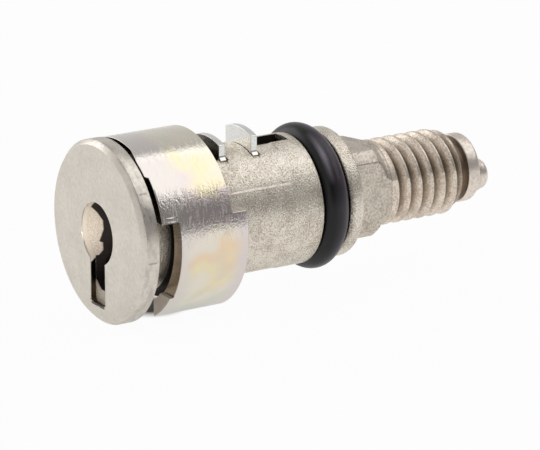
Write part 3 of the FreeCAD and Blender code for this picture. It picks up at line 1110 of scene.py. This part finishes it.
platedMetal = {
    "rose": (0.88, 0.78, 0.71),
    "green": (0.83, 0.84, 0.73),
    "yellow": (1.0, 0.88, 0.6),
    "peach": (1.0, 0.79, 0.57),
    "cream": (0.96, 0.89, 0.77),
    "front": (0.87, 0.81, 0.76),
    "rear": (0.88, 0.8, 0.79),
    "violet": (0.87, 0.775, 0.755),
    # painted shade of the front faces, painted light of the foot's front, painted shade of the ear's top and
    # of the front edge
    "frontShade": (0.37, 0.32, 0.265),
    "footLight": (0.93, 0.85, 0.78),
    "earTopShade": (0.45, 0.42, 0.4),
    "shade": (0.05, 0.04, 0.034),
    # tones from the bottom of the ring to its top
    "film": [(0.0, "rose"), (0.12, "green"), (0.22, "cream"), (0.33, "yellow"), (0.43, "peach"),
             (0.53, "cream"), (0.62, "violet"), (0.75, "violet"), (0.83, "yellow"), (0.97, "cream")],
    "halfHeight": 8.1,
    "wander": 0.42,             # how far the tones stray up and down
    # where green flecks lie, and where the plating is rubbed, from bottom to top
    "flecks": [(0.35, 1.0), (0.5, 0.0), (0.78, 0.0), (0.85, 0.7)],
    "rubbed": [(0.3, 0.12), (0.5, 0.45), (0.57, 1.0), (0.77, 1.0), (0.84, 0.12), (0.91, 0.5)],
    # where the tone of the front and rear edges takes over, along the ring in centimetres
    "ends": [(0.4, 1.0), (0.52, 0.0), (0.88, 0.0), (1.0, 0.9)],
    "roughness": (0.13, 0.42),
    "round": 8.0,               # millimetres round the ring to a radian
    "strokeAcross": 5.0,        # brush strokes per millimetre
    "strokeAlong": 0.9,
    "strokeBend": 1.2,
    "bump": 0.03,
    # painted shade and painted light on the faces that were cut: limits and their blends
    "skin": (0.07, 0.03),       # under the outer radius
    "shadeTo": (2.4, 0.05),
    "cutTo": (3.85, 0.05),
    "footTop": (0.03, 0.04),    # over the foot's height
    "earFrom": (9.05, 0.05),
    "earLow": (2.34, 0.02),
    "earHigh": (2.42, 0.03),
}


def platedMetalMaterial(name, s):
    # zinc plating: a thin film whose colour drifts down the ring, over brush strokes that run round it, with
    # painted shade and painted light on the faces that were cut
    material, tree, shader = newMaterial(name)
    point = objectPoint(tree)
    x, y, z = splitPoint(point)
    half = s["halfHeight"]
    height = mathNode("DIVIDE", total(z, half), 2 * half)
    drift = noiseTexture(point, 0.3, 2.0, 0.45)
    wander = product(mathNode("SUBTRACT", drift, 0.5), s["wander"])
    level = total(height, wander)
    film = ramp(level, [(place, s[tone]) for place, tone in s["film"]], smooth=True)
    fleck = ramp(noiseTexture(point, 0.6, 2.0, 0.5), [(0.48, 0.0), (0.66, 0.6)])
    film = mixColour(product(fleck, ramp(level, s["flecks"])), film, s["green"])
    along = product(total(y, product(wander, 3.0)), 0.1)
    endTone = ramp(along, [(0.45, s["front"]), (0.9, s["rear"])])
    colour = mixColour(ramp(along, s["ends"]), film, endTone)

    turn = product(mathNode("ARCTAN2", z, x), s["round"])
    bend = noiseTexture(point, 0.7, 2.0, 0.5)
    slide = total(y, product(bend, s["strokeBend"]))
    spread = joinPoint(product(turn, s["strokeAlong"]), product(slide, s["strokeAcross"]))
    stroke = noiseTexture(spread, 1.0, 3.0, 0.62)
    speck = noiseTexture(point, 5.0, 2.0, 0.6)

    # painted shade on the front faces, the ear top and the front edge; painted light, pale and non-metal, on
    # the foot's front
    inset, blend = s["skin"]
    wall = below(radiusFrom(x, z), sleeveRadius - inset, blend)
    ahead = product(wall, below(y, *s["cutTo"]))
    rise, blend = s["footTop"]
    foot = product(ahead, below(z, sleeveShape["footHeight"] + rise, blend))
    ear = product(wall, above(y, *s["earFrom"]), above(z, *s["earLow"]), below(z, *s["earHigh"]))
    inner = product(wall, below(y, *s["shadeTo"]))
    for mask, tone in ((ahead, "frontShade"), (foot, "footLight"), (ear, "earTopShade"), (inner, "shade")):
        colour = mixColour(mask, colour, s[tone])

    rubbed = ramp(height, s["rubbed"])
    streak = ramp(stroke, [(0.5, 0.0), (0.62, 1.0)])
    low, high = s["roughness"]
    rough = total(product(streak, rubbed, high - low), low)
    relief = product(total(product(stroke, 0.6), speck), rubbed)
    feed(shader, Base_Color=colour, Metallic=inverse(foot), Roughness=rough,
         Normal=bump(relief, 0.8, s["bump"]))
    return material


def raiseNib(sleeve):
    # stretch of the front edge that stands forward, square at its lower end and tapered above
    s = sleeveShape
    for v in sleeve.data.vertices:
        degrees = math.degrees(math.atan2(v.co.z, v.co.x))
        if v.co.y < (s["start"] + 0.3) * mm and s["nibStart"] <= degrees <= s["nibEnd"]:
            fade = min((s["nibEnd"] - degrees) / (s["nibEnd"] - s["nibFull"]), 1.0)
            v.co.y -= s["nibReach"] * fade * mm


def frameOutline(left, right, low, high):
    return [(left, low), (right, low), (right, high), (left, high)]


def makeSleeve():
    s = sleeveShape
    material = platedMetalMaterial("yellow_zinc", platedMetal)
    profile = [(s["bore"], s["start"]), (sleeveRadius, s["start"]), (sleeveRadius, sleeveRear),
               (s["bore"], sleeveRear)]
    ringed = roundCorners(profile + [profile[0]], [0, s["edge"], s["rearEdge"], 0.08, 0])[:-1]
    sleeve = lathe("plateSleeve", ringed, count=256, loop=True)
    raiseNib(sleeve)
    step = s["stepHeight"]
    ends = -1, sleeveRear + 1.5        # in front of the sleeve and behind it
    cut(sleeve, [
        prism("frontTool", frameOutline(-outside, outside, -outside, step), ends[0], s["footStep"]),
        prism("frontTool", frameOutline(-outside, outside, s["footHeight"], step),
              s["footStep"] - 0.5, s["frontStep"]),
        prism("rearTool", frameOutline(-outside, outside, step, outside), s["rearStep"], ends[1]),
        prism("openTool", frameOutline(-s["openingHalf"], s["openingHalf"], -outside, 0), *ends),
    ])
    softenEdges(sleeve, s["edge"])
    finishPiece(sleeve, material, "sleeve", ["sleeve"])
    lines = makeLines("sleeveLines", s["lines"], sleeveRadius, s["lineHeight"])
    finishPiece(lines, material, "sleeve", ["sleeve"], limit=50.0)


makeSleeve()
print("sleeve done")


# Wafers and springs

waferMetal = dict(castMetal, light=(0.98, 0.98, 0.95), dark=(0.9, 0.89, 0.86), roughness=(0.2, 0.32),
                  grain=5.0, patch=0.8, bump=0.004)
# painted shade for the front of the plate close behind the sleeve
waferShade = dict(castMetal, light=(0.3, 0.29, 0.28), dark=(0.16, 0.15, 0.145), roughness=(0.3, 0.4),
                  grain=4.0, patch=0.9, bump=0.004)
wireMetal = dict(castMetal, light=(0.62, 0.62, 0.63), dark=(0.5, 0.5, 0.51), roughness=(0.2, 0.32),
                 grain=8.0, patch=1.0, bump=0.004)

# painted highlight: a pale, non-metal stretch of each long edge, where it leaves the barrel, and a dark line
# over it
waferEdge = {
    "tabHighlight": (0.97, 0.93, 0.87),
    "line": (0.16, 0.13, 0.11),
    "side": (2.14, 0.02),
    "tabTop": 5.6,
    "lineTop": 5.68,
}


def waferMaterial(name, settings):
    material = castMetalMaterial(name, settings)
    tree = material.node_tree
    shader = tree.nodes["Principled BSDF"]
    s = waferEdge
    x, y, z = splitPoint(objectPoint(tree))
    edge = above(x, *s["side"])
    # painted highlight on the edge just above the barrel
    tabHighlight = product(edge, below(z, s["tabTop"], 0.04))
    between = mathNode("SUBTRACT", below(z, s["lineTop"], 0.03), below(z, s["tabTop"], 0.03))
    colour = shader.inputs["Base Color"].links[0].from_socket
    colour = mixColour(tabHighlight, colour, s["tabHighlight"])
    colour = mixColour(product(edge, between, 0.8), colour, s["line"])
    feed(shader, Base_Color=colour, Metallic=inverse(tabHighlight))
    return material


matWafer = waferMaterial("nickel_silver", waferMetal)
matWaferShade = castMetalMaterial("nickel_silver_shade", waferShade)
matWire = castMetalMaterial("spring_wire", wireMetal)


def makeWafer(index, lift):
    w = waferShape
    node = "wafer_%d" % (index + 1)
    front = w["first"] + w["pitch"] * index
    rear = front + w["thickness"]
    radius = barrelShape["radius"]
    plate = lathe("wafer%d" % (index + 1), [(radius, front), (radius, rear)], 160, drop=lift)
    strip = block("stripTool", (-w["half"], front - 1, -outside), (w["half"], rear + 1, outside))
    cut(plate, [strip], "INTERSECT")
    lugFloor = lift - w["lugDrop"]
    lug = block("lugTool", (-w["half"] - w["lugReach"], front, lugFloor),
                (-w["half"] + w["lugRoot"], rear, lugFloor + w["lugHeight"]))
    cut(plate, [lug], "UNION")
    window = block("windowTool", (-w["windowHalf"], front - 1, lift - w["windowBottom"]),
                   (w["windowHalf"], rear + 1, lift + w["windowTop"]))
    cut(plate, [window])
    softenEdges(plate, w["edge"], segments=3)
    finishPiece(plate, matWafer, node, [node])
    # painted shade on the front faces of that plate
    if index == w["shaded"]:
        plate.data.materials.append(matWaferShade)
        for face in plate.data.polygons:
            face.material_index = 1 if face.normal.y < -0.9 else 0


def makeSpring(index, lift):
    # one wound wire between the floor of its hole and the lug
    s = springShape
    w = waferShape
    node = "spring_%d" % (index + 1)
    middle = w["first"] + w["pitch"] * index + w["thickness"] / 2
    wire = s["wire"]
    low = s["floor"] + wire
    high = lift - w["lugDrop"] - wire
    around = s["radius"] - wire
    steps = int(s["turns"] * s["turnSteps"])
    rings = []
    for k in range(steps + 1):
        angle = 2 * math.pi * s["turns"] * k / steps
        out = Vector((math.cos(angle), math.sin(angle), 0))
        centre = Vector((s["x"], middle, low + (high - low) * k / steps)) + out * around
        ring = []
        for side in range(s["sides"]):
            turn = 2 * math.pi * side / s["sides"]
            ring.append(centre + out * (wire * math.cos(turn)) + Vector((0, 0, wire * math.sin(turn))))
        rings.append(ring)
    spring = buildMesh("spring%d" % (index + 1), rings)
    finishPiece(spring, matWire, "plug", [node])
    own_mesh(spring)


for index, lift in enumerate(waferLifts):
    makeWafer(index, lift)
    makeSpring(index, lift)
print("wafers and springs done")


# Floor, backdrop, light and camera

studio = {
    "floorReach": 900,
    "floorColour": (0.9, 0.9, 0.9),
    "floorRough": 0.9,
    "cameraGlow": 0.96,
    "metalGlow": 0.53,
    # painted shadow: soft grey patch of floor between the cap and the foot of the sleeve
    "shadowColour": (0.36, 0.345, 0.33),
    "footMiddle": (-1.3, 6.1),
    "footReach": (2.45, 1.7),        # radius at half strength and width of the blend
    # greys of the room that the metal shows: round the part, and in front of its face
    "around": [(0.0, 0.6), (0.485, 0.75), (0.5, 0.3), (0.52, 0.22), (0.61, 0.2), (0.65, 0.08),
               (0.78, 0.08), (0.811, 0.46), (0.917, 0.55), (1.0, 0.65)],
    "ahead": [(0.0, 0.55), (0.35, 0.6), (0.585, 0.62), (0.612, 0.12), (0.675, 0.12), (0.7, 0.4)],
    "aheadFrom": (-0.3, 0.2),
    "backdrop": (1.0, 1.0, 1.0),
    "middle": (0, 18, 0),
}

view = {
    "azimuth": 58.32,
    "elevation": 17.64,
    "distance": 300.0,
    "across": 14.87,
    "up": 0.67,
    "lens": 233.04,
    "sensor": 36.0,
    "clip": (0.01, 10.0),        # metres
}


def directRays(tree):
    # rays that come straight from the camera or pass through something clear, and the mirrored ones
    path = tree.nodes.new("ShaderNodeLightPath").outputs
    return largest(path["Is Camera Ray"], path["Is Transmission Ray"]), path["Is Glossy Ray"]


def makeFloor():
    s = studio
    low = cadBox[0][2] / mm
    far = s["floorReach"]
    floor = block("floor", (-far, -far, low - 1.0), (far, far, low))
    material, tree, shader = newMaterial("floor_white")
    feed(shader, Roughness=s["floorRough"])
    x, y = splitPoint(objectPoint(tree))[:2]
    offsets = [mathNode("SUBTRACT", value, middle) for value, middle in zip((x, y), s["footMiddle"])]
    # painted shadow: darker floor colour, without the camera's glow, under the gap between cap and foot
    paintedShadow = below(radiusFrom(*offsets), *s["footReach"])
    feed(shader, Base_Color=mixColour(paintedShadow, s["floorColour"], s["shadowColour"]))
    direct, glossy = directRays(tree)
    seen = product(direct, s["cameraGlow"], inverse(paintedShadow))
    glow = tree.nodes.new("ShaderNodeEmission")
    mix = tree.nodes.new("ShaderNodeMixShader")
    share = largest(seen, product(glossy, s["metalGlow"]))
    for socket, value in zip(mix.inputs, (share, shader.outputs[0], glow.outputs[0])):
        give(socket, value)
    feed(tree.nodes["Material Output"], Surface=mix.outputs[0])
    floor.data.materials.append(material)


def makeWorld():
    # soft grey room: dark to the right above the floor and to the right in front, light elsewhere
    s = studio
    world = bpy.data.worlds.new("studio")
    bpy.context.scene.world = world
    world.use_nodes = True
    tree = world.node_tree
    background = tree.nodes["Background"]
    place = tree.nodes.new("ShaderNodeTexCoord")
    x, y, z = splitPoint(place.outputs["Generated"])
    around = ramp(turnShare(z, x), s["around"])
    ahead = ramp(turnShare(x, product(y, -1.0)), s["ahead"])
    shaded = mixColour(below(y, *s["aheadFrom"]), around, ahead)
    feed(background, Color=mixColour(directRays(tree)[0], shaded, s["backdrop"]), Strength=1.0)


# kind, place and target in millimetres, power in watts, and the rest in metres and radians
lamps = {
    "overhead": ("AREA", (90, 262, 420), studio["middle"], 0.83,
                 {"shape": "RECTANGLE", "size": 0.5, "size_y": 0.52}),
    "left": ("AREA", (-380, -160, 160), studio["middle"], 0.2,
             {"shape": "RECTANGLE", "size": 0.26, "size_y": 0.26}),
    # narrow soft beam into the mouth of the key opening
    "keySpot": ("SPOT", (339.3, -196, 68), (-2.5, 1.2, 0.0), 4.8,
                {"spot_size": math.radians(0.98), "spot_blend": 0.27, "shadow_soft_size": 0.002}),
}


def makeLamp(name, kind, place, target, power, rest):
    data = bpy.data.lights.new(name, kind)
    data.energy = power
    for key, value in rest.items():
        setattr(data, key, value)
    lamp = bpy.data.objects.new(name, data)
    bpy.context.scene.collection.objects.link(lamp)
    lamp.location = Vector(place) * mm
    direction = (Vector(target) - Vector(place)).normalized()
    lamp.rotation_euler = direction.to_track_quat("-Z", "Y").to_euler()


def makeCamera():
    az = math.radians(view["azimuth"])
    el = math.radians(view["elevation"])
    back = Vector((math.sin(az) * math.cos(el), -math.cos(az) * math.cos(el), math.sin(el)))
    right = Vector((math.cos(az), math.sin(az), 0.0))
    up = back.cross(right)
    data = bpy.data.cameras.new("camera")
    data.lens = view["lens"]
    data.sensor_width = view["sensor"]
    data.clip_start, data.clip_end = view["clip"]
    camera = bpy.data.objects.new("camera", data)
    bpy.context.scene.collection.objects.link(camera)
    spot = (back * view["distance"] + right * view["across"] + up * view["up"]) * mm
    turn = Matrix((right, up, back)).transposed().to_4x4()
    camera.matrix_world = Matrix.Translation(spot) @ turn
    bpy.context.scene.camera = camera


makeFloor()
makeWorld()
for name, settings in lamps.items():
    makeLamp(name, *settings)
makeCamera()
bpy.context.scene.view_settings.view_transform = "Standard"
print("studio done")
